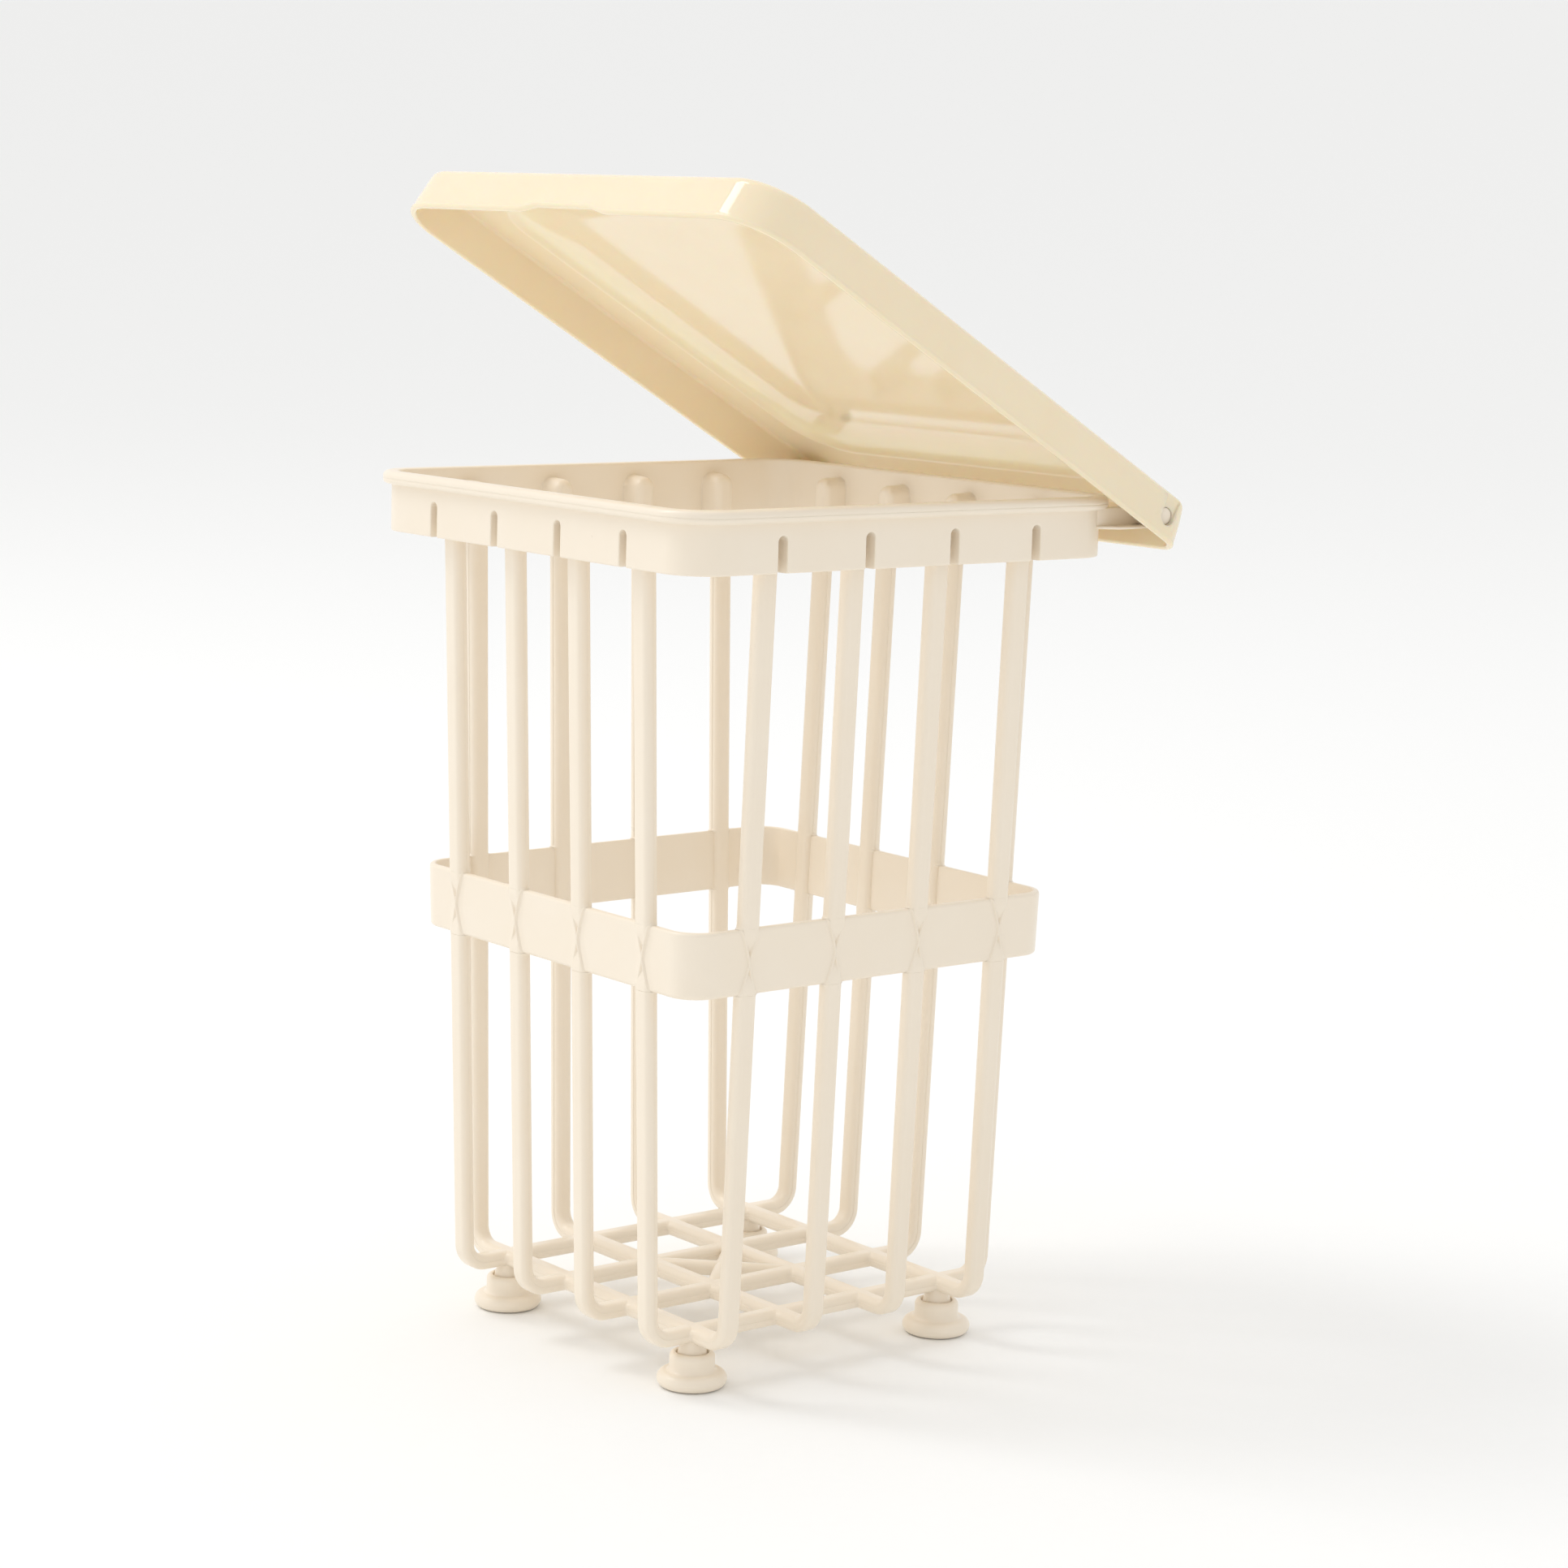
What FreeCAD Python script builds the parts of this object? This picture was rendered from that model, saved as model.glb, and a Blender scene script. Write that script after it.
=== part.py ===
import FreeCAD, Part
import math
import os
import Sketcher

# A square open-bar basket with a hinged lid, moulded in polypropylene.
# Millimetres. +Z is up. The front is -Y, and the lid hinges along X at the back, +Y.
# The lid is drawn part open, and the origin is on the floor, under the middle of the whole.
# Each body is drawn about the basket's own middle, and all are then slid forward together.

V = FreeCAD.Vector
ORIGIN = (-1, 1)                             # a sketch's own zero point, for its constraints
COUNT = 4                                    # bars to a side
TINY = 1e-6                                  # two lengths this near are the same

DIMS = {
    "pitch": 24.0,                           # bar to bar, and rod to rod
    "past": 1.0,                             # how far a cutting shape runs past what it cuts
    "hair": 0.001,                           # a cut's overlap where its face lies in another's
    "slide": 7.39,                           # basket's own middle to the middle of the whole
    "sink": 0.3,                             # how far a raised feature starts inside its wall
    # collar: the solid wall round the mouth, with a rolled rim
    "collar_half": 60.2, "collar_wall": 1.8, "collar_corner": 9.5,
    "collar_bottom": 183.5, "rim_top": 197.3, "rim_tall": 2.9, "rim_out": 2.0, "rim_round": 1.3,
    "slot_wide": 2.4, "slot_top": 191.4, "slot_deep": 4.4,
    "boss_top": 194.2, "boss_reach": 52.15, "boss_round": 1.9, "boss_root": 0.1, "boss_crown": 1.7,
    # bars: flattened round section, leaning in by about two degrees towards the base
    "bar_wide_top": 5.2, "bar_thick_top": 3.8, "bar_wide_low": 4.6, "bar_thick_low": 3.5,
    "bar_round": 1.5, "bar_off_top": 54.05, "bar_off_low": 48.5, "bend_radius": 5.0,
    # base: rods in one plane, crossing
    "rod_level": 12.05, "brace_wide": 3.4,
    # belt: the band round the middle, with a raised cross on every bar
    "belt_low": 91.5, "belt_top": 106.2, "belt_half_low": 51.9, "belt_half_top": 52.4,
    "belt_wall": 1.5, "belt_corner": 7.0,
    "rib_wide": 0.75, "rib_face": 53.0, "cross_wide_top": 4.7, "cross_wide_low": 4.1,
    "web_wide": 2.6, "web_face": 53.2,
    # posts under the corner crossings, and the push-on feet
    "peg_radius": 2.4, "peg_low": 1.6, "post_radius_top": 2.6, "post_radius_low": 3.3,
    "post_band": 0.5,
    "foot_tall": 7.9, "foot_floor": 7.1, "brim_radius": 7.9, "brim_tall": 3.8, "brim_round": 1.6,
    "crown_radius": 5.1, "crown_round": 1.2, "lip_radius": 3.7,
    # hinge: two arms behind the collar, with pins that point outwards
    "pin_back": 69.2, "pin_level": 193.0, "pin_radius": 1.95, "pin_end": 66.6,
    "arm_in": 56.6, "arm_out": 59.0, "flange_out": 62.4, "flange_tall": 0.7, "arm_low": 189.9,
    "flange_front": 59.2, "arm_boss_radius": 2.7, "arm_boss_end": 64.7,
    # lid: a shallow tray upside down, measured from the pin axis in its own frame
    "lid_open": 29.9, "lid_half": 68.1, "lid_draft": 1.1, "lid_front": 138.0, "lid_back": 8.0,
    "lid_low": 5.1, "lid_under": 4.4, "lid_top": 5.6, "lid_wall": 1.6,
    "lid_corner_front": 14.2, "lid_corner_back": 6.0, "lid_hollow_back": 2.0,
    "lid_edge_tall": 2.0, "lid_edge_in": 1.2,
    "panel_margin": 13.0, "panel_slope": 11.0, "panel_rise": 2.9, "panel_corner": 15.0,
    "hole_radius": 2.05, "channel_floor": 66.6, "channel_wide": 4.3,
    "notch_wide": 30.0, "notch_deep": 1.0,
}

doc = FreeCAD.newDocument("lidded_basket")
sheet = doc.addObject("Spreadsheet::Sheet", "Dims")
for row, (alias, number) in enumerate(DIMS.items(), start=1):
    sheet.set(f"A{row}", alias)
    sheet.set(f"B{row}", str(number))
    sheet.setAlias(f"B{row}", alias)
doc.recompute()


# ---------------------------------------------------------------- helpers

def size(expression):
    """The number that an expression in the sheet's words comes to."""
    return float(sheet.evalExpression(expression))


def linked(expression):
    """The same expression as another object writes it, with the sheet's name in front."""
    out = []
    for word in expression.replace("(", "( ").replace(")", " )").split():
        out.append("Dims." + word if word in DIMS else word)
    return " ".join(out)


def bind(obj, prop, expression):
    obj.setExpression(prop, linked(expression))


def new_body(label):
    body = doc.addObject("PartDesign::Body", label)
    body.Label = label
    return body


def origin_feature(body, role):
    return [f for f in body.Origin.OriginFeatures if f.Role == role][0]


def new_sketch(body, plane, offset="0", turn=None):
    """A sketch on one of the body's own planes, lifted off it by the offset."""
    sketch = body.newObject("Sketcher::SketchObject", "Sketch")
    sketch.AttachmentSupport = [(origin_feature(body, plane), "")]
    sketch.MapMode = "FlatFace"
    turned = turn if turn else FreeCAD.Rotation()
    sketch.AttachmentOffset = FreeCAD.Placement(V(0, 0, size(offset)), turned)
    if offset != "0":
        bind(sketch, "AttachmentOffset.Base.z", offset)
    return sketch


def hold(sketch, kind, *args):
    """A sketch constraint whose last argument is an expression that drives it."""
    expression = args[-1]
    index = sketch.addConstraint(Sketcher.Constraint(kind, *args[:-1], size(expression)))
    name = f"c{index}"
    sketch.renameConstraint(index, name)
    bind(sketch, f"Constraints.{name}", expression)


def outline(sketch, points, radii=None):
    """A closed outline. Each point is a pair of expressions; radii[i] = (radius, sign)
    makes the edge that leaves point i an arc, +1 turning left along the way and -1 right.
    A half circle on a level chord is (radius, sign, level), because its radius is already set."""
    radii = radii or {}
    places = [V(size(x), size(y), 0) for x, y in points]
    ids = []
    for i, a in enumerate(places):
        b = places[(i + 1) % len(places)]
        if i in radii:
            radius, sign = size(radii[i][0]), radii[i][1]
            middle = (a + b) * 0.5
            along = (b - a).normalize()
            side = V(-along.y, along.x, 0) * sign
            half = (b - a).Length / 2
            depth = math.sqrt(max(radius ** 2 - half ** 2, 0))
            top = middle + side * (depth - radius)
            edge = Part.Arc(a, top, b)
        else:
            edge = Part.LineSegment(a, b)
        ids.append(sketch.addGeometry(edge, False))
    for i, here in enumerate(ids):
        after = ids[(i + 1) % len(ids)]
        end = 2 if i not in radii or radii[i][1] > 0 else 1
        start = 1 if (i + 1) % len(ids) not in radii or radii[(i + 1) % len(ids)][1] > 0 else 2
        sketch.addConstraint(Sketcher.Constraint("Coincident", here, end, after, start))
        hold(sketch, "DistanceX", *ORIGIN, after, start, points[(i + 1) % len(ids)][0])
        hold(sketch, "DistanceY", *ORIGIN, after, start, points[(i + 1) % len(ids)][1])
    for i, arc in radii.items():
        if len(arc) == 3:
            hold(sketch, "DistanceY", *ORIGIN, ids[i], 3, arc[2])
        else:
            hold(sketch, "Radius", ids[i], arc[0])


def rounded_box(sketch, left, right, low, high, radii):
    """A rectangle with rounded corners; radii run anticlockwise from the low left corner."""
    a, b, c, d = radii
    points = [
        (f"{left} + {a}", low), (f"{right} - {b}", low), (right, f"{low} + {b}"),
        (right, f"{high} - {c}"), (f"{right} - {c}", high), (f"{left} + {d}", high),
        (left, f"{high} - {d}"), (left, f"{low} + {a}"),
    ]
    outline(sketch, points, {1: (b, 1), 3: (c, 1), 5: (d, 1), 7: (a, 1)})


def square_ring(sketch, half, corner):
    rounded_box(sketch, f"( 0 - ( {half} ) )", f"( {half} )", f"( 0 - ( {half} ) )",
                f"( {half} )", [f"( {corner} )"] * 4)


def circle(sketch, x, y, radius):
    here = sketch.addGeometry(Part.Circle(V(size(x), size(y), 0), V(0, 0, 1), size(radius)), False)
    hold(sketch, "DistanceX", *ORIGIN, here, 3, x)
    hold(sketch, "DistanceY", *ORIGIN, here, 3, y)
    hold(sketch, "Radius", here, radius)


def pad(body, sketch, length, reverse=False, both=False):
    feature = body.newObject("PartDesign::Pad", "Pad")
    feature.Profile = sketch
    bind(feature, "Length", length)
    feature.Reversed = reverse
    if both:
        feature.SideType = "Symmetric"
    return feature


def cut(body, sketch, length, reverse=False, both=False):
    """A pocket; it must take something away, so the volume is compared."""
    doc.recompute()
    before = body.Shape.Volume
    feature = body.newObject("PartDesign::Pocket", "Pocket")
    feature.Profile = sketch
    bind(feature, "Length", length)
    feature.Reversed = reverse
    if both:
        feature.SideType = "Symmetric"
    doc.recompute()
    if body.Shape.Volume >= before - TINY:
        raise ValueError(f"a pocket of {body.Label} cuts nothing")
    return feature


def loft(body, kind, first, last):
    feature = body.newObject(f"PartDesign::{kind}Loft", "Loft")
    feature.Profile = first
    feature.Sections = [last]
    feature.Ruled = True
    return feature


def spin(body, sketch, axis, angle):
    feature = body.newObject("PartDesign::Revolution", "Revolution")
    feature.Profile = sketch
    feature.ReferenceAxis = (sketch, [axis])
    feature.Angle = angle
    return feature


def round_edges(body, radius, wanted):
    """Fillet the edges of the body's shape that the test wants."""
    doc.recompute()
    base = body.Tip
    names = [f"Edge{i + 1}" for i, edge in enumerate(base.Shape.Edges) if wanted(edge)]
    feature = body.newObject("PartDesign::Fillet", "Fillet")
    feature.Base = (base, names)
    bind(feature, "Radius", radius)
    return feature


def level_at(edge, height):
    """Whether an edge lies flat at a height."""
    box = edge.BoundBox
    return box.ZLength < TINY and abs(box.ZMax - size(height)) < TINY


def four_ways(body, features):
    """Repeat features on all four sides of the basket."""
    pattern = body.newObject("PartDesign::PolarPattern", "PolarPattern")
    pattern.Originals = features
    pattern.Axis = (origin_feature(body, "Z_Axis"), [""])
    pattern.Angle = 360
    pattern.Occurrences = 4
    body.Tip = pattern
    return pattern


def places():
    """Where the bars of a side stand along it, as expressions."""
    return [f"pitch * {i - (COUNT - 1) / 2}" for i in range(COUNT)]


# ---------------------------------------------------------------- collar

def make_collar():
    body = new_body("collar")
    wall = new_sketch(body, "XY_Plane", "collar_bottom")
    square_ring(wall, "collar_half", "collar_corner")
    square_ring(wall, "collar_half - collar_wall", "collar_corner - collar_wall")
    pad(body, wall, "rim_top - collar_bottom")

    rim = new_sketch(body, "XY_Plane", "rim_top - rim_tall")
    square_ring(rim, "collar_half + rim_out", "collar_corner + rim_out")
    square_ring(rim, "collar_half - collar_wall / 2", "collar_corner - collar_wall / 2")
    pad(body, rim, "rim_tall")

    # a boss inside the wall over each bar, and a slot in front of it, open at the bottom
    bosses = new_sketch(body, "XY_Plane", "collar_bottom")
    for x in places():
        rounded_box(bosses, f"( {x} - bar_wide_top / 2 )", f"( {x} + bar_wide_top / 2 )",
                    "( 0 - collar_half + collar_wall / 2 )", "( 0 - boss_reach )",
                    ["( boss_root )", "( boss_root )", "( boss_round )", "( boss_round )"])
    boss = pad(body, bosses, "boss_top - collar_bottom")

    slots = new_sketch(body, "XZ_Plane", "collar_half")
    for x in places():
        outline(slots, [
            (f"( {x} - slot_wide / 2 )", "collar_bottom - past"),
            (f"( {x} + slot_wide / 2 )", "collar_bottom - past"),
            (f"( {x} + slot_wide / 2 )", "slot_top - slot_wide / 2"),
            (f"( {x} - slot_wide / 2 )", "slot_top - slot_wide / 2"),
        ], {2: ("slot_wide / 2", 1, "slot_top - slot_wide / 2")})
    slot = cut(body, slots, "slot_deep")
    four_ways(body, [boss, slot])

    outer = size("collar_half + rim_out")

    def on_rim(edge):
        box = edge.BoundBox
        reach = max(abs(box.XMin), abs(box.XMax), abs(box.YMin), abs(box.YMax))
        return abs(reach - outer) < TINY and (level_at(edge, "rim_top")
                                              or level_at(edge, "rim_top - rim_tall"))

    round_edges(body, "rim_round", on_rim)
    round_edges(body, "boss_crown", lambda edge: level_at(edge, "boss_top"))
    return body


# ---------------------------------------------------------------- bars

def make_bar(label, quarter, index):
    """One bar with its bend. It is drawn on the front and turned to its side."""
    body = new_body(label)
    top = new_sketch(body, "XY_Plane", "collar_bottom")
    rounded_box(top, "( 0 - bar_wide_top / 2 )", "( bar_wide_top / 2 )",
                "( 0 - bar_off_top - bar_thick_top / 2 )", "( 0 - bar_off_top + bar_thick_top / 2 )",
                ["( bar_round )"] * 4)
    low = new_sketch(body, "XY_Plane", "rod_level + bend_radius")
    rounded_box(low, "( 0 - bar_wide_low / 2 )", "( bar_wide_low / 2 )",
                "( 0 - bar_off_low - bar_thick_low / 2 )", "( 0 - bar_off_low + bar_thick_low / 2 )",
                ["( bar_round )"] * 4)
    loft(body, "Additive", low, top)

    # the bend turns about a line along X, inside the basket
    bend = new_sketch(body, "XY_Plane", "rod_level + bend_radius")
    bend.AttachmentOffset.Base.y = size("bend_radius - bar_off_low")
    bind(bend, "AttachmentOffset.Base.y", "bend_radius - bar_off_low")
    rounded_box(bend, "( 0 - bar_wide_low / 2 )", "( bar_wide_low / 2 )",
                "( 0 - bend_radius - bar_thick_low / 2 )", "( 0 - bend_radius + bar_thick_low / 2 )",
                ["( bar_round )"] * 4)
    spin(body, bend, "H_Axis", 90)

    # the belt's wall takes the place of the bar's outer half
    seat = new_sketch(body, "YZ_Plane")
    outline(seat, [
        ("0 - belt_half_top + belt_wall", "belt_top"),
        ("0 - belt_half_top - bar_thick_top", "belt_top"),
        ("0 - belt_half_low - bar_thick_top", "belt_low"),
        ("0 - belt_half_low + belt_wall", "belt_low"),
    ])
    cut(body, seat, "bar_wide_top + 2 * past", both=True)
    along = size("pitch") * (index - (COUNT - 1) / 2)
    turned = FreeCAD.Rotation(V(0, 0, 1), 90 * quarter)
    body.Placement = FreeCAD.Placement(turned.multVec(V(along, 0, 0)), turned)
    return body


# ---------------------------------------------------------------- base

def make_base():
    """Eight rods that cross in one plane, and a diagonal brace in the middle cell."""
    body = new_body("base_grid")
    for plane in ("YZ_Plane", "XZ_Plane"):
        sections = new_sketch(body, plane)
        for x in places():
            rounded_box(sections, f"( {x} - bar_wide_low / 2 )", f"( {x} + bar_wide_low / 2 )",
                        "( rod_level - bar_thick_low / 2 )", "( rod_level + bar_thick_low / 2 )",
                        ["( bar_round )"] * 4)
        pad(body, sections, "2 * ( bar_off_low - bend_radius )", both=True)
    for angle in (45, -45):
        brace = new_sketch(body, "YZ_Plane", turn=FreeCAD.Rotation(V(0, 1, 0), angle))
        rounded_box(brace, "( 0 - brace_wide / 2 )", "( brace_wide / 2 )",
                    "( rod_level - bar_thick_low / 2 )", "( rod_level + bar_thick_low / 2 )",
                    ["( bar_round )"] * 4)
        pad(body, brace, "pitch * sqrt( 2 )", both=True)
    return body


# ---------------------------------------------------------------- belt

def make_belt():
    body = new_body("belt")
    for kind, inset in (("Additive", "0"), ("Subtractive", "belt_wall")):
        low = new_sketch(body, "XY_Plane", "belt_low")
        square_ring(low, f"belt_half_low - {inset}", f"belt_corner - {inset}")
        top = new_sketch(body, "XY_Plane", "belt_top")
        square_ring(top, f"belt_half_top - {inset}", f"belt_corner - {inset}")
        loft(body, kind, low, top)

    # two ribs cross on each bar, from the bar's sides at the top to its sides at the bottom
    ribs = []
    for way in (1, -1):
        strips = new_sketch(body, "XZ_Plane", "belt_half_low - sink")
        for x in places():
            upper = f"{x} + {way} * ( cross_wide_top / 2 )"
            lower = f"{x} - {way} * ( cross_wide_low / 2 )"
            outline(strips, [
                (f"{lower} - rib_wide / 2", "belt_low"), (f"{lower} + rib_wide / 2", "belt_low"),
                (f"{upper} + rib_wide / 2", "belt_top"), (f"{upper} - rib_wide / 2", "belt_top"),
            ])
        ribs.append(pad(body, strips, "rib_face - belt_half_low + sink"))

    # between the ribs the bar's face runs down to the belt's face at half its height
    middle = "( belt_low + belt_top ) / 2"
    face = "( 0 - ( belt_half_low + belt_half_top ) / 2 )"
    for x in places():
        web = new_sketch(body, "YZ_Plane", f"{x}")
        outline(web, [
            ("0 - belt_half_low + sink", "belt_low"), ("0 - web_face", "belt_low"),
            (face, middle), ("0 - web_face", "belt_top"), ("0 - belt_half_top + sink", "belt_top"),
        ])
        ribs.append(pad(body, web, "web_wide", both=True))
    four_ways(body, ribs)
    return body


# ---------------------------------------------------------------- posts and feet

def make_post(label, x, y):
    """A conical post under a corner crossing, with a peg for its foot."""
    body = new_body(label)
    profile = new_sketch(body, "XZ_Plane")
    under_rod = "rod_level - bar_thick_low / 2"
    outline(profile, [
        ("0", "peg_low"), ("peg_radius", "peg_low"), ("peg_radius", "foot_floor"),
        ("post_radius_low", "foot_floor"), ("post_radius_low", "foot_floor + post_band"),
        ("post_radius_top", under_rod), ("0", under_rod),
    ])
    spin(body, profile, "V_Axis", 360)
    body.Placement = FreeCAD.Placement(V(x, y, 0), FreeCAD.Rotation())
    return body


def make_foot(label, x, y):
    """A hat-shaped foot: a thick round brim, a crown, and a lip round the post."""
    body = new_body(label)
    profile = new_sketch(body, "XZ_Plane")
    outline(profile, [
        ("0", "0"), ("brim_radius - brim_round", "0"), ("brim_radius", "brim_round"),
        ("brim_radius - brim_round", "2 * brim_round"), ("crown_radius", "brim_tall"),
        ("crown_radius", "foot_tall - crown_round"), ("crown_radius - crown_round", "foot_tall"),
        ("lip_radius", "foot_tall"), ("lip_radius", "foot_floor"), ("peg_radius", "foot_floor"),
        ("peg_radius", "peg_low"), ("0", "peg_low"),
    ], {1: ("brim_round", 1), 2: ("brim_round", 1), 5: ("crown_round", 1)})
    spin(body, profile, "V_Axis", 360)
    body.Placement = FreeCAD.Placement(V(x, y, 0), FreeCAD.Rotation())
    return body


# ---------------------------------------------------------------- hinge arms

def make_arm(label, side):
    """An arm behind the collar's corner: web, lower flange, boss and pin. side is 1 or -1."""
    body = new_body(label)
    centre = "( collar_half - collar_corner )"

    def across(distance):
        return f"{side} * ( {distance} )"

    def on_corner(x):
        """How far back the collar's rounded corner stands at x."""
        return f"{centre} + sqrt( collar_corner ^ 2 - ( {x} - {centre} ) ^ 2 )"

    touching = [(across("arm_in"), on_corner("arm_in")), (across("arm_out"), on_corner("arm_out"))]
    wing = [(across("flange_out"), "flange_front")]
    for reach, extra, tall in (("arm_out", [], "rim_top - rim_tall - arm_low"),
                               ("flange_out", wing, "flange_tall")):
        plan = new_sketch(body, "XY_Plane", "arm_low")
        back = [(across(reach), "pin_back"), (across("arm_in"), "pin_back")]
        outline(plan, touching + extra + back, {0: ("collar_corner", -side)})
        pad(body, plan, tall)

    for start, end, radius in (("arm_in", "arm_boss_end", "arm_boss_radius"),
                               ("arm_boss_end - past", "pin_end", "pin_radius")):
        ring = new_sketch(body, "YZ_Plane", across(start))
        circle(ring, "pin_back", "pin_level", radius)
        pad(body, ring, f"{end} - ( {start} )", reverse=side < 0)
    return body


# ---------------------------------------------------------------- lid

def lid_section(body, level, inset, corners):
    """A level outline at a height in the lid's own frame, inset from its outside edge.
    The corner radii are expressions for the front pair and the back pair."""
    front, back = (f"( {radius} )" for radius in corners)
    sketch = new_sketch(body, "XY_Plane", level)
    rounded_box(sketch, f"( 0 - lid_half + ( {inset} ) )", f"( lid_half - ( {inset} ) )",
                f"( 0 - lid_front + ( {inset} ) )", f"( lid_back - ( {inset} ) )",
                [front, front, back, back])
    return sketch


def lid_layer(body, kind, low, high, corners):
    """Loft between two outlines, each given as a height and an inset."""
    loft(body, kind, *(lid_section(body, level, inset, [corner.format(inset=inset) for corner in corners])
                       for level, inset in (low, high)))


def make_lid():
    body = new_body("lid")
    outside = ("lid_corner_front - ( {inset} )", "lid_corner_back - ( {inset} )")
    hollow = ("lid_corner_front - ( {inset} )", "lid_hollow_back")
    panel = ("panel_corner", "panel_corner")
    shoulder = ("lid_top - lid_edge_tall", "lid_draft")
    plate = "lid_top - lid_under"
    lid_layer(body, "Additive", ("0 - lid_low", "0"), shoulder, outside)
    lid_layer(body, "Additive", shoulder, ("lid_top", "lid_draft + lid_edge_in"), outside)
    lid_layer(body, "Additive", ("lid_top - sink", "panel_margin"),
              ("lid_top + panel_rise", "panel_margin + panel_slope"), panel)
    lid_layer(body, "Subtractive", ("0 - lid_low - hair", "lid_wall"),
              ("lid_under", "lid_draft + lid_wall"), hollow)
    lid_layer(body, "Subtractive", ("lid_under - hair", f"panel_margin + {plate}"),
              ("lid_under + panel_rise", f"panel_margin + panel_slope + {plate}"), panel)

    # a shallow finger notch in the middle of the front's lower edge
    notch = new_sketch(body, "XZ_Plane", "lid_front + past")
    notch_radius = "( notch_deep / 2 + notch_wide ^ 2 / ( 8 * notch_deep ) )"
    circle(notch, "0", f"0 - lid_low + notch_deep - {notch_radius}", notch_radius)
    cut(body, notch, "lid_wall + 2 * past")

    # the pin holes, and a channel up the outside of the wall over each
    holes = new_sketch(body, "YZ_Plane")
    circle(holes, "0", "0", "hole_radius")
    cut(body, holes, "2 * ( lid_half + past )", both=True)
    for side in (1, -1):
        channel = new_sketch(body, "YZ_Plane", f"{side} * channel_floor")
        outline(channel, [
            ("0 - channel_wide / 2", "0"), ("channel_wide / 2", "0"),
            ("channel_wide / 2", "lid_top + past"), ("0 - channel_wide / 2", "lid_top + past"),
        ], {0: ("channel_wide / 2", 1, "0")})
        cut(body, channel, "lid_half - channel_floor + past", reverse=side > 0)

    tilt = FreeCAD.Rotation(V(1, 0, 0), -size("lid_open"))
    body.Placement = FreeCAD.Placement(V(0, size("pin_back"), size("pin_level")), tilt)
    return body


# ---------------------------------------------------------------- assembly

SIDES = ("front", "right", "back", "left")     # each a quarter turn on from the one before


def build():
    made = [make_collar(), make_belt(), make_base()]
    for quarter, side in enumerate(SIDES):
        for index in range(COUNT):
            made.append(make_bar(f"{side}_bar_{index + 1}", quarter, index))
    corner = size("pitch") * (COUNT - 1) / 2
    for name, x, y in (("front_left", -1, -1), ("front_right", 1, -1),
                       ("back_right", 1, 1), ("back_left", -1, 1)):
        made.append(make_post(f"{name}_post", x * corner, y * corner))
        made.append(make_foot(f"{name}_foot", x * corner, y * corner))
    made.append(make_arm("right_hinge_arm", 1))
    made.append(make_arm("left_hinge_arm", -1))
    made.append(make_lid())
    return made


def slide_forward(parts):
    """Stand the middle of the whole over the origin."""
    step = FreeCAD.Placement(V(0, -size("slide"), 0), FreeCAD.Rotation())
    for part in parts:
        part.Placement = step.multiply(part.Placement)


def check_and_export(parts):
    doc.recompute()
    for obj in doc.Objects:
        if "Invalid" in obj.State or "Error" in obj.State:
            raise ValueError(f"{obj.Name} ({obj.Label}) failed: {obj.State}")
    for part in parts:
        if part.Shape.isNull() or not part.Shape.isValid() or not part.Shape.Solids:
            raise ValueError(f"{part.Label} has no good solid")
    os.makedirs("parts", exist_ok=True)
    for part in parts:
        part.Shape.exportStep(f"parts/{part.Label}.step")
        box = part.Shape.BoundBox
        print(f"{part.Label}: {part.Shape.Volume:.1f} mm3, solids {len(part.Shape.Solids)}, "
              f"x {box.XMin:.2f}..{box.XMax:.2f} y {box.YMin:.2f}..{box.YMax:.2f} "
              f"z {box.ZMin:.2f}..{box.ZMax:.2f}")


pieces = build()
slide_forward(pieces)
check_and_export(pieces)
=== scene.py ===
import math

import bmesh
import bpy
import numpy as np
from mathutils import Matrix, Vector


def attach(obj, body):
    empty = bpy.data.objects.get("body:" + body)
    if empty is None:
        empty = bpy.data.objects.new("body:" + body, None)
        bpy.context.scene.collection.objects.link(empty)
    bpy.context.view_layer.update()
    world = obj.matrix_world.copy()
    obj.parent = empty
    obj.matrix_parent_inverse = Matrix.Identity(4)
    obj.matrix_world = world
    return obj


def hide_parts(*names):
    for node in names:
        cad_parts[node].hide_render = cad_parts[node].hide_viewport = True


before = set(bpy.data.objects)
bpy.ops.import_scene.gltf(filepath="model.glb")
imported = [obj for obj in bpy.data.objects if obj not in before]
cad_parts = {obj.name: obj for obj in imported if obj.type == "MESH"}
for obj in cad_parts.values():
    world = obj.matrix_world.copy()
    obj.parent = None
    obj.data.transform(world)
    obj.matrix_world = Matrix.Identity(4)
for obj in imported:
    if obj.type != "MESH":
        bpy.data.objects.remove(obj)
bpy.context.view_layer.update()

bl_info = {
    "name": "Lidded Basket",
    "version": (1, 0, 0),
    "blender": (4, 5, 0),
    "location": "View3D > Sidebar > Basket",
    "description": "Builds a moulded open-bar basket with a hinged lid round its CAD frame",
    "category": "Add Mesh",
}

# Lengths inside the functions are millimetres, about the basket's own middle. The CAD frame
# has the middle of the whole at its origin, so a finished mesh is slid forward by SLIDE.
MM = 0.001
SLIDE = 7.39
BARS = 4
FAR = 12.0                      # further from a bar or a crossing than any of their shapes reach
CORNER_STEPS = 12               # stations on an upright corner of the collar and the belt


def linear(code):
    """An sRGB hex code as linear red, green and blue."""
    channels = np.array([int(code[i:i + 2], 16) for i in (0, 2, 4)]) / 255
    curve = ((channels + 0.055) / 1.055) ** 2.4
    return tuple(np.where(channels <= 0.04045, channels / 12.92, curve))


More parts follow.
